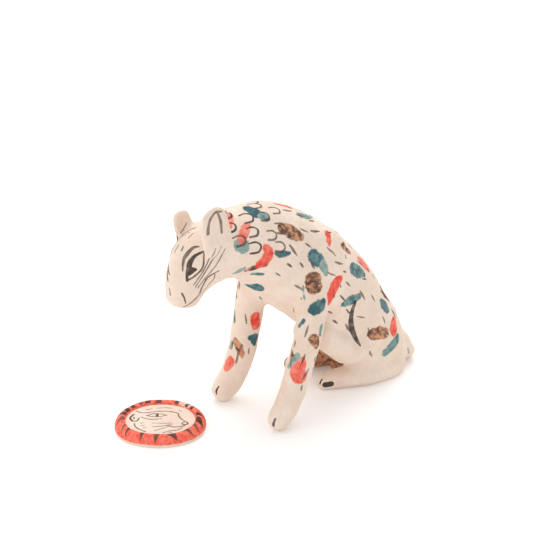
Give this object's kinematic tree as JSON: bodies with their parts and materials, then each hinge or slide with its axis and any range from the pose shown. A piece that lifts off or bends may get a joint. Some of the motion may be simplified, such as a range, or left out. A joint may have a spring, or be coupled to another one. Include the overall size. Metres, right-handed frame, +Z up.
{
  "type": "folk art cat figure",
  "caption": "Hand-built clay cat that sits and looks down at a small round dish with its reflection painted inside, cream clay with red, teal and brown dabs",
  "frame": {"origin": "on the table, in the middle of the flat seat under the rump", "axes": "+Z up, the cat faces -Y towards the dish, +X is its left side"},
  "size_m": [0.0808, 0.2118, 0.1425],
  "materials": {
    "clay": "unglazed pale cream clay with red, teal, brown and dark underglaze brushwork",
    "dish_clay": "unglazed pale cream clay with a feline face drawn in fine dark lines",
    "rim_paint": "matt coral red underglaze with dark teal wedge strokes"
  },
  "bodies": {
    "figure": {"rump_shell": "clay", "chest_shell": "clay", "neck_sleeve": "clay", "head_shell": "clay", "left_ear": "clay", "right_ear": "clay", "left_foreleg": "clay", "right_foreleg": "clay", "left_haunch": "clay", "right_haunch": "clay", "left_hind_foot": "clay", "right_hind_foot": "clay", "tail": "clay"},
    "dish": {"dish_slab": "dish_clay", "dish_rim": "rim_paint"}
  },
  "joints": [
    {"name": "dish_lift", "type": "slide", "parent": "figure", "child": "dish", "axis": [0, -0.7071, 0.7071], "range_m": [0, 0.12]}
  ]
}
